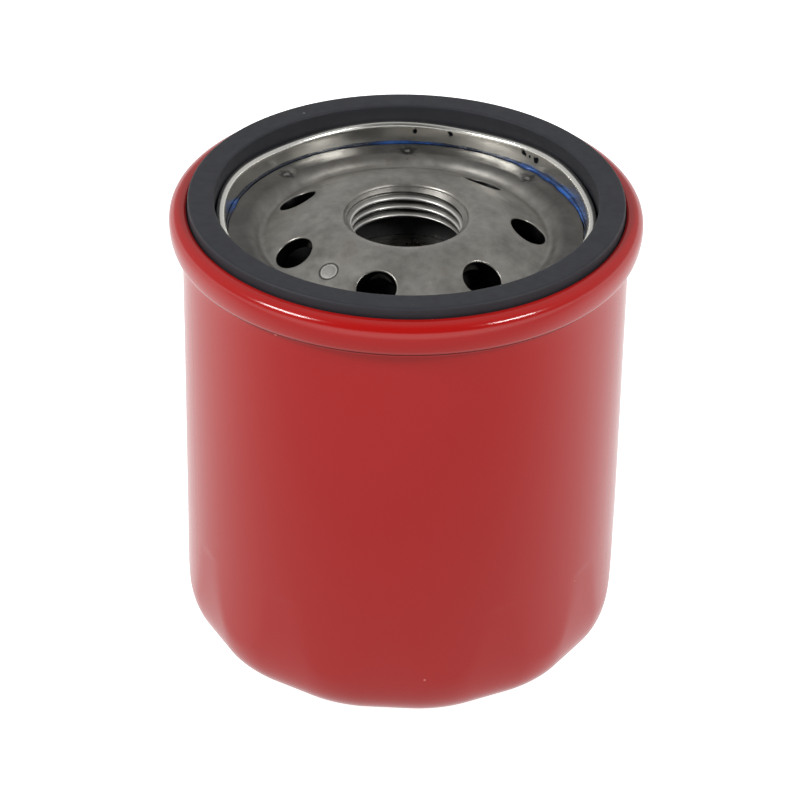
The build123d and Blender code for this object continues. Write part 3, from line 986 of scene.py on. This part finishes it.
@dataclass
class BasePlate:
    """Stamped plate: tapped crest, sloping inlets, valley and welded ring."""

    radius: float = 28.6
    ring_top: float = 72.45
    ring_in: float = 24.9
    thickness: float = 2.5
    slope: float = math.radians(28.4)
    crest_top: float = 75.5
    roll_start: float = 11.9
    mouth: float = 9.98
    mouth_top: float = 74.68
    minor: float = 8.75
    major: float = 9.53
    pitch: float = 1.5875
    neck: float = 11.4
    neck_low: float = 69.4
    inlets: int = 7
    inlet: float = 3.15
    inlet_reach: float = 19.7
    inlet_top: float = 72.68
    inlet_first: float = math.radians(-13.2)
    zone: tuple[float, float] = (15.0, 23.5)
    arc_steps: int = 56
    side_steps: int = 22
    weld_reach: float = 26.4
    weld_places: tuple[float, ...] = (180.0, 132.0, 48.0, 0.0, -48.0, -132.0)
    coin: tuple[float, float, float] = (19.1, -39.3, 1.35)

    @property
    def start(self) -> float:
        """Azimuth where the first inlet's sector begins."""
        return self.inlet_first - math.pi / self.inlets

    def height(self, radius: np.ndarray) -> np.ndarray:
        """Top of the plate: a straight slope eased into the crest, and a valley eased into the ring."""
        fall = self.inlet_top - (radius - self.inlet_reach) * math.tan(self.slope)
        inner = smooth_min(fall, self.crest_top + 0 * radius, 1.7)
        outer = smooth_min(self.ring_top + radius - self.ring_in, self.ring_top + 0 * radius, 0.9)
        return -smooth_min(-inner, -outer, 0.8)

    def along(self, r_from: float, r_to: float, steps: int, drop: float = 0.0) -> np.ndarray:
        """Profile of the top between two radii, or of the underside when dropped."""
        radius = np.linspace(r_from, r_to, steps + 1)
        return np.stack([radius, self.height(radius) - drop], axis=1)

    def rings(self, line: np.ndarray) -> np.ndarray:
        """A profile carried round, in step with the inlet sectors."""
        return polar(line[:, :1], self.turn(), line[:, 1:])

    def turn(self) -> np.ndarray:
        """Azimuths of one turn, in step with the inlet sectors."""
        count = self.inlets * self.arc_steps
        return self.start + np.arange(count)[None, :] * TURN / count

    def crest_line(self) -> np.ndarray:
        """The top from the inlets' zone to the crest, a quarter ellipse, and a nick at the mouth."""
        top = float(self.height(np.array(self.roll_start)))
        q = np.linspace(0, math.pi / 2, 12)[1:]
        roll = np.stack([
            self.roll_start - (self.roll_start - self.mouth) * np.sin(q),
            top - (top - self.mouth_top) * (1 - np.cos(q)),
        ], axis=1)
        nick = np.array([self.mouth, self.mouth_top]) - [(0.02, 0.16), (0.09, 0.17), (0.14, 0.1)]
        return np.vstack([self.along(self.zone[0], self.roll_start, 16), roll, nick])

    def thread(self) -> np.ndarray:
        """Tapped wall: a trapezoid wave of height over pitch less turn, cut by two cones."""
        azimuth = self.turn()
        z = np.linspace(self.mouth_top - 0.16, self.neck_low + 0.02, 76)[:, None]
        wave = np.abs(2 * ((z / self.pitch - azimuth / TURN) % 1.0) - 1)
        depth = np.clip((wave - 0.16) / 0.68, 0, 1)
        wall = self.minor + (self.major - self.minor) * depth
        entry = self.mouth - 0.2 + (z - self.mouth_top + 0.16) * 1.05
        exit_cone = self.minor + 0.5 - (z - self.neck_low) * 0.9
        return polar(np.maximum(np.maximum(wall, entry), exit_cone), azimuth, z)

    def sector(self, k: int) -> tuple[np.ndarray, np.ndarray, np.ndarray, np.ndarray]:
        """Boundary of one inlet's sector and the frame of the inlet.

        The boundary runs along the inner arc, out, back along the outer arc and in.

        Args:
            k: number of the inlet.

        Returns:
            Boundary points in plan, the inlet's centre, and its outward and sideways directions.
        """
        half = math.pi / self.inlets
        centre_at = self.inlet_first + k * TURN / self.inlets
        sweep = centre_at + np.linspace(-half, half, self.arc_steps + 1)[:-1]
        out = np.linspace(*self.zone, self.side_steps + 1)[:-1]
        side, arc = np.ones(out.size), np.ones(sweep.size)
        azimuth = np.concatenate([
            sweep, side * (centre_at + half), 2 * centre_at - sweep, side * (centre_at - half),
        ])
        radius = np.concatenate([arc * self.zone[0], out, arc * self.zone[1], sum(self.zone) - out])
        edge = polar(radius, azimuth, np.zeros(radius.size))[:, :2]
        outward = np.array([math.sin(centre_at), -math.cos(centre_at)])
        return edge, outward * self.inlet_reach, outward, np.array([math.cos(centre_at), math.sin(centre_at)])

    def collar(self, k: int) -> np.ndarray:
        """Skin round one inlet, punched square to the slope: under side, wall, edge and top.

        A hole point goes sideways by the radius times one sine, and outwards by the
        radius times the other, shortened by the slope. Deeper rings move inwards.

        Args:
            k: number of the inlet.

        Returns:
            Rings as (profile, around, 3).
        """
        edge, centre, outward, sideways = self.sector(k)
        offset = edge - centre
        lean = math.cos(self.slope)
        local = np.stack([offset @ sideways, offset @ outward / lean], axis=1)
        local /= np.linalg.norm(local, axis=1, keepdims=True)
        roll = np.linspace(0, math.pi / 2, 6)
        size = self.inlet + np.concatenate([[0.1, 0.03, 0, 0, 0], 0.34 * (1 - np.cos(roll))])
        deep = np.concatenate([[1.0, 0.97, 0.9, 0.6, 0.3], 0.16 * (1 - np.sin(roll))])
        sink = deep * self.thickness * lean * math.sin(self.slope)
        plan = centre + size[:, None, None] * (local[:, :1] * sideways + local[:, 1:] * lean * outward)
        plan = plan - sink[:, None, None] * outward
        under = self.spread(edge, plan[0], np.linspace(1, 0, 7)[:-1])
        over = self.spread(edge, plan[-1], np.linspace(0, 1, 15)[1:] ** 1.15)
        drop = np.concatenate([np.ones(len(under)), deep, np.zeros(len(over))]) * self.thickness
        flat = np.concatenate([under, plan, over])
        z = self.height(np.hypot(flat[..., 0], flat[..., 1])) - drop[:, None]
        return np.concatenate([flat, z[..., None]], axis=-1)

    @staticmethod
    def spread(edge: np.ndarray, hole: np.ndarray, shares: np.ndarray) -> np.ndarray:
        """Plan of rings part way from the hole's ring to the sector's boundary."""
        return hole[None] * (1 - shares[:, None, None]) + edge[None] * shares[:, None, None]

    def emboss(self, rings: np.ndarray) -> np.ndarray:
        """Presses the weld marks and the coined dot into the top face.

        A weld mark is a bell-shaped hollow with a small lumpy peak in it and a faint
        rim; the coined dot is a shallow ring line.

        Args:
            rings: points of the plate.

        Returns:
            The points with their heights changed.
        """
        x, y, z = np.moveaxis(rings, -1, 0)
        reach = np.hypot(x, y)
        places = polar(np.array(self.weld_reach), np.radians(self.weld_places), np.array(0.0))[:, :2]
        across, ahead = x[..., None] - places[:, 0], y[..., None] - places[:, 1]
        away = np.hypot(across, ahead)
        peak = np.exp(-((away / 0.55) ** 2)) * (0.5 + 0.1 * np.cos(9 * across) + 0.08 * np.sin(8 * ahead))
        bell = 0.5 * np.exp(-((away / 1.05) ** 2))
        rim = 0.05 * np.exp(-(((away - 1.9) / 0.5) ** 2))
        sink = (bell - peak - rim).sum(axis=-1)
        centre, at, size = self.coin
        dot = polar(np.array(centre), np.radians(at), self.height(np.array(centre)))
        from_dot = np.linalg.norm(rings - dot, axis=-1)
        line = 0.16 * np.exp(-(((from_dot - size) / 0.2) ** 2))
        sink += line - 0.06 / (1 + np.exp((from_dot - size + 0.25) / 0.07))
        top = (np.abs(z - self.height(reach)) < 0.02) & (reach < self.radius - 0.4)
        return np.stack([x, y, z - sink * top], axis=-1)

    def build(self, finish: Material) -> None:
        """Makes the plate from its middle, its collars and its rim, and dresses it."""
        skin = Skin("base_plate")
        neck_top = self.crest_top - self.thickness - 0.3
        neck = [
            (self.minor + 0.5, self.neck_low, 0), (self.neck, self.neck_low, 0.25), (self.neck, neck_top, 0),
        ]
        web = self.along(self.neck + 0.3, self.zone[0], 8, self.thickness)
        below = np.vstack([spaced(eased_line(neck, False), 1.2), web])
        skin.add(np.concatenate([self.rings(self.crest_line()), self.thread(), self.rings(below)]), Ends.OPEN)
        low, rim = self.ring_top - self.thickness, self.radius - 0.4
        edge = [
            (rim, low, 0), (self.radius, low, 0.35),
            (self.radius, self.ring_top, 0.22), (rim, self.ring_top, 0),
        ]
        outer = [
            self.along(self.zone[1], rim, 14, self.thickness)[:-1],
            eased_line(edge, False),
            self.along(rim, self.zone[1], 26)[1:],
        ]
        skin.add(self.emboss(self.rings(np.vstack(outer))), Ends.OPEN)
        for k in range(self.inlets):
            skin.add(self.emboss(self.collar(k)), Ends.OPEN)
        place_piece(skin.build(weld=True), finish, FIXED, "plate_steel", "base_plate")


@dataclass
class Seals:
    """The rubber and compound rings: gasket, joint bead, anti-drain-back valve."""

    gasket: tuple[float, float, float, float] = (30.8, 35.05, 73.42, 78.4)
    bead_wall: float = 28.9
    plate_top: float = 72.45

    def bead_warp(self, radius: np.ndarray, azimuth: np.ndarray, height: np.ndarray) -> Bent:
        """Carries a unit circle to the bead's section, thick at the back right and lumpy.

        Args:
            radius: across the section, -1 to 1.
            azimuth: angles in radians.
            height: up the section, -1 to 1.

        Returns:
            Radius and height of the bead's skin.
        """
        degrees = np.degrees(azimuth % TURN)
        thick = 0.17 * np.exp(-(((degrees - 124) / 17) ** 4))
        thick = thick + 0.06 * np.exp(-(((degrees - 182) / 16) ** 2))
        blob = 0.2 * np.exp(-(((degrees - 257) / 4.0) ** 2))
        size = 0.15 + thick + blob + 0.028 * ripple(azimuth, 3, 6, 46)
        across = size * (1.0 + 0.12 * ripple(azimuth, 4, 8, 40))
        return self.bead_wall - across + across * radius, self.plate_top + size * (0.35 + height)

    def gasket_warp(self, radius: np.ndarray, azimuth: np.ndarray, height: np.ndarray) -> Bent:
        """Moulded rubber is never quite round or flat: two slow waves."""
        rise = 0.02 * ripple(azimuth, 22, 2, 5) * (height > 78)
        return radius + 0.03 * ripple(azimuth, 21, 2, 6), height - 0.02 + rise

    def build(
        self, rubber: Material, compound: Material, valve: Material
    ) -> None:
        """Makes and dresses the rings."""
        r_in, r_out, low, high = self.gasket
        corners = [(r_in, low, 0.3), (r_out, low, 0.3), (r_out, high, 0.42), (r_in, high, 0.36)]
        section = spaced(eased_line(corners, True, 8), 0.5, True)
        gasket = turned_piece("gasket", section, 384, self.gasket_warp)
        place_piece(gasket, rubber, FIXED, "gasket_rubber", "gasket")
        t = np.arange(14) * TURN / 14
        circle = np.stack([np.cos(t), np.sin(t)], axis=1)
        bead = turned_piece("joint_sealant", circle, 720, self.bead_warp)
        place_piece(bead, compound, FIXED, "blue_sealant", "joint_sealant")
        hub = [(11.45, 64.9, 0.15), (14.2, 64.9, 0.3), (14.2, 72.75, 0.3), (11.45, 72.75, 0.15)]
        section = spaced(eased_line(hub, True, 4), 0.8, True)
        hub_piece = turned_piece("anti_drain_valve", section, 192)
        place_piece(hub_piece, valve, FIXED, "valve_rubber", "anti_drain_valve")
        skirt = [
            (14.45, 66.55, 0.15), (24.4, 67.0, 1.2), (27.4, 68.25, 0.3), (27.4, 69.15, 0.25),
            (25.9, 69.15, 0.3), (24.4, 67.9, 1.0), (14.45, 67.45, 0.15),
        ]
        section = spaced(eased_line(skirt, True, 5), 0.9, True)
        flap = turned_piece("anti_drain_flap", section, 240)
        flap.data.materials.append(valve)
        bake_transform(flap)
        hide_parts("anti_drain_flap")


@dataclass
class ReliefSpring:
    """Round-wire coil between the poppet's head and the cage's top."""

    coil: float = 4.4
    wire: float = 0.44
    low: float = 14.23
    high: float = 25.9
    turns: int = 6
    steps: int = 48
    lift: float = 3.0

    def build(self, finish: Material) -> None:
        """Sweeps a circle along the coil, whose pitch is close at both ends, and ties it to the frame.

        The circle stands square to the coil's tangent: one side of it points away
        from the axis and the other is the tangent crossed with that.
        """
        u = np.linspace(0, self.turns, self.turns * self.steps + 1)
        open_pitch = np.clip(u / 1.2, 0, 1) ** 2 * np.clip((self.turns - u) / 1.2, 0, 1) ** 2
        close = 2.1 * self.wire
        spare = self.high - self.low - close * self.turns
        gather = np.concatenate([[0.0], np.cumsum((open_pitch[1:] + open_pitch[:-1]) / 2)])
        z = self.low + close * u + spare * gather / gather[-1]
        angle = u * TURN
        outward = np.stack([np.cos(angle), np.sin(angle), np.zeros_like(u)], axis=-1)
        spine = outward * self.coil + np.stack([0 * z, 0 * z, z], axis=-1)
        tangent = np.gradient(spine, axis=0)
        tangent /= np.linalg.norm(tangent, axis=1, keepdims=True)
        upward = np.cross(outward, tangent)
        t = np.arange(12)[None, :, None] * TURN / 12
        rings = spine[:, None] + self.wire * (np.cos(t) * outward[:, None] + np.sin(t) * upward[:, None])
        obj = Skin("bypass_spring").add(rings[:, ::-1], Ends.POLES).build()
        place_piece(obj, finish, FIXED, "spring_steel", "bypass_spring")
        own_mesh(obj)


# ---------------------------------------------------------------------------
# Stage, light and camera
# ---------------------------------------------------------------------------


@dataclass
class SoftBox:
    """One rectangular soft light aimed at the filter."""

    name: str
    place: tuple[float, float, float]
    size: tuple[float, float]
    power: float
    aim: tuple[float, float, float] = (0.0, 0.0, 0.045)

    def build(self) -> None:
        """Adds the light, its face turned to its aim."""
        data = bpy.data.lights.new(self.name, "AREA")
        data.shape = "RECTANGLE"
        data.size, data.size_y = self.size
        data.energy = self.power
        obj = bpy.data.objects.new(self.name, data)
        bpy.context.scene.collection.objects.link(obj)
        obj.location = self.place
        obj.rotation_euler = (Vector(self.place) - Vector(self.aim)).to_track_quat("Z", "Y").to_euler()


@dataclass
class Studio:
    """Pale floor, a white room that is dimmer at the front, soft boxes and the camera."""

    floor_half: float = 3.0
    # Glow close to the filter, kept low as a painted contact shadow.
    floor_near_shadow: float = 0.52
    floor_far: float = 1.35
    floor_back: float = 1.0
    horizon: float = 1.3
    above_front: float = 0.10
    above_back: float = 0.5
    lens: float = 210.9
    eye: tuple[float, float, float] = (0.0, -0.65373, 0.44601)
    right: tuple[float, float, float] = (0.999848, 0.009727, 0.014452)
    up: tuple[float, float, float] = (-0.017409, 0.527375, 0.849454)
    back: tuple[float, float, float] = (0.000641, -0.849577, 0.527465)
    boxes: tuple[SoftBox, ...] = (
        SoftBox("box_left", (-0.56, -0.28, 0.60), (0.30, 0.13), 3.6),
        SoftBox("box_right", (0.54, -0.35, 0.60), (0.26, 0.11), 2.8),
    )

    def floor(self) -> None:
        """Lays a pale floor that looks plain white and glows a little on what stands on it; its glow is
        dimmer close to the filter, a painted contact shadow that shows only in reflections.
        """
        mesh = bpy.data.meshes.new("floor")
        half = self.floor_half
        corners = [(-half, -half, 0), (half, -half, 0), (half, half, 0), (-half, half, 0)]
        mesh.from_pydata(corners, [], [(0, 1, 2, 3)])
        obj = bpy.data.objects.new("floor", mesh)
        bpy.context.scene.collection.objects.link(obj)
        material = bpy.data.materials.new("pale_floor")
        material.use_nodes = True
        w = Wiring(material.node_tree)
        shader = material.node_tree.nodes["Principled BSDF"]
        shader.inputs["Roughness"].default_value = 0.9
        shader.inputs["Specular IOR Level"].default_value = 0.1
        shader.inputs["Emission Color"].default_value = (1, 1, 1, 1)
        seen = w.add("LightPath").outputs["Is Camera Ray"]
        away = w.add("SeparateXYZ", Vector=w.add("TexCoord").outputs["Object"]).outputs[1]
        # Painted contact shadow: the glow is dimmer just in front of the filter and brighter further out.
        lit = w.math("ADD", w.span(away, -0.1, 0.03, self.floor_near_shadow, self.floor_back),
                     w.span(away, -0.32, -0.13, self.floor_far - self.floor_near_shadow, 0.0))
        w.feed(shader, "Base_Color", w.blend(seen, (0.12, 0.12, 0.12), (0.8, 0.8, 0.8)))
        w.feed(shader, "Emission_Strength", w.math("MAXIMUM", lit, seen))
        mesh.materials.append(material)

    def room(self) -> None:
        """Even white behind, dimmer towards the front, and plain white to look at."""
        world = bpy.data.worlds.new("room")
        world.use_nodes = True
        w = Wiring(world.node_tree)
        sky = world.node_tree.nodes["Background"]
        sky.inputs["Color"].default_value = (1, 1, 1, 1)
        way = w.add("SeparateXYZ", Vector=w.add("TexCoord").outputs["Generated"]).outputs
        above = w.span(way[1], -0.6, 0.4, self.above_front, self.above_back)
        band = w.span(way[2], 0.08, 0.3, 1.0, 0.0)
        lit = w.math("ADD", above, w.math("MULTIPLY", band, w.math("SUBTRACT", self.horizon, above)))
        seen = w.add("LightPath").outputs["Is Camera Ray"]
        w.feed(sky, "Strength", w.math("MAXIMUM", lit, seen))
        bpy.context.scene.world = world

    def camera(self) -> None:
        """Sets the camera up from its axes and its place."""
        data = bpy.data.cameras.new("camera")
        data.lens = self.lens
        data.sensor_width = 36.0
        data.clip_start, data.clip_end = 0.01, 20
        camera = bpy.data.objects.new("camera", data)
        bpy.context.scene.collection.objects.link(camera)
        matrix = np.eye(4)
        matrix[:3, :] = np.array([self.right, self.up, self.back, self.eye]).T
        camera.matrix_world = Matrix(matrix.tolist())
        bpy.context.scene.camera = camera

    def build(self) -> None:
        """Sets up the floor, the light and the camera."""
        bpy.context.scene.view_settings.view_transform = "Standard"
        self.room()
        self.floor()
        for box in self.boxes:
            box.build()
        self.camera()


# ---------------------------------------------------------------------------
# Assembly
# ---------------------------------------------------------------------------


ENAMEL = Enamel(
    "red_enamel", (0.425, 0.006, 0.0045), (0.385, 0.0045, 0.0035), gloss=(0.13, 0.19), mottle_scale=14.0,
    mottle_contrast=0.9, grain_scale=520.0, bump=0.000002, dust=0.0025, dust_colour=(0.6, 0.14, 0.12),
)
BARE = LipSteel(
    "bare_lip_steel", (0.95, 0.94, 0.89), (0.84, 0.82, 0.76), metallic=1.0, gloss=(0.2, 0.27),
    mottle_scale=60.0, grain_scale=700.0, bump=0.00000025, streak_scale=1400.0,
)
PLATE = StampedPlate(
    "stamped_steel", (0.43, 0.415, 0.385), (0.2, 0.19, 0.172), metallic=0.85, gloss=(0.32, 0.48),
    mottle_scale=140.0, mottle_contrast=2.6, grain_scale=2600.0, bump=0.00001,
)
GASKET = Finish(
    "gasket_nitrile", (0.032, 0.033, 0.039), (0.023, 0.024, 0.029), gloss=(0.5, 0.62), mottle_scale=220.0,
    grain_scale=3000.0, bump=0.00001, dust=0.006, dust_colour=(0.16, 0.16, 0.16), specular=0.28,
)
VALVE = Finish(
    "valve_nitrile", (0.012, 0.012, 0.012), (0.006, 0.006, 0.006), gloss=(0.5, 0.7),
    mottle_scale=150.0, grain_scale=2600.0,
)
COMPOUND = Compound(
    "blue_compound", (0.03, 0.17, 0.62), (0.012, 0.07, 0.3), gloss=(0.12, 0.3), mottle_scale=420.0,
    grain_scale=1400.0, bump=0.00006,
)
LINING = Finish("seam_lining", (0.22, 0.22, 0.21), (0.14, 0.14, 0.135), gloss=(0.5, 0.7))
TINNED = SpunSteel(
    "tinned_sheet", (0.62, 0.61, 0.58), (0.45, 0.44, 0.42), metallic=1.0, gloss=(0.25, 0.42),
    mottle_scale=180.0, bump=0.00001,
)
TUBE = StampedPlate(
    "tube_sheet", (0.55, 0.55, 0.52), (0.38, 0.38, 0.36), metallic=0.9, gloss=(0.3, 0.5),
    mottle_scale=260.0, grain_scale=2400.0, bump=0.00002,
)
RESIN = Finish(
    "potting_resin", (0.42, 0.25, 0.08), (0.3, 0.17, 0.05), gloss=(0.2, 0.4), mottle_scale=120.0,
    grain_scale=600.0, bump=0.0001,
)
PAPER = FilterPaper(
    "filter_paper", (0.72, 0.58, 0.33), (0.6, 0.46, 0.24), gloss=(0.75, 0.9), mottle_scale=240.0,
    mottle_contrast=1.2, grain_scale=5000.0, bump=0.00005,
)
PLATED = SpunSteel(
    "plated_pressing", (0.66, 0.62, 0.5), (0.5, 0.47, 0.4), metallic=1.0, gloss=(0.24, 0.4),
    mottle_scale=220.0, bump=0.00001,
)
SPRING = Finish(
    "spring_steel", (0.16, 0.16, 0.17), (0.08, 0.08, 0.09), metallic=1.0, gloss=(0.3, 0.45),
    mottle_scale=200.0, grain_scale=2400.0, bump=0.00001,
)

KEPT_NODES: dict[str, Finish] = {
    "seam_compound": LINING,
    "upper_end_cap": TINNED,
    "lower_end_cap": TINNED,
    "upper_potting": RESIN,
    "lower_potting": RESIN,
    "pleated_media": PAPER,
    "media_seam_clip": TINNED,
    "center_tube": TUBE,
    "bypass_cage": PLATED,
    "bypass_poppet": PLATED,
    "bypass_seal": VALVE,
    "element_spring": SPRING,
}


def dress_kept_nodes(made: dict[str, Material]) -> None:
    """Gives each CAD node that stays visible its finish.

    Args:
        made: materials by finish name; missing ones are built and added.
    """
    for node, finish in KEPT_NODES.items():
        if finish.name not in made:
            made[finish.name] = finish.material()
        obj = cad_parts[node]
        obj.data.materials.clear()
        obj.data.materials.append(made[finish.name])
        LOG.info("%s: %s", node, finish.name)


def main() -> None:
    """Builds the filter piece by piece, then the studio."""
    first = (ENAMEL, BARE, PLATE, GASKET, VALVE, COMPOUND, SPRING)
    made = {finish.name: finish.material() for finish in first}
    Can().build(made[ENAMEL.name])
    SeamingLid().build(made[ENAMEL.name], made[BARE.name])
    BasePlate().build(made[PLATE.name])
    Seals().build(made[GASKET.name], made[COMPOUND.name], made[VALVE.name])
    ReliefSpring().build(made[SPRING.name])
    dress_kept_nodes(made)
    Studio().build()
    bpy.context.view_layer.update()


if __name__ == "__main__":
    logging.basicConfig(level=logging.INFO)
    main()
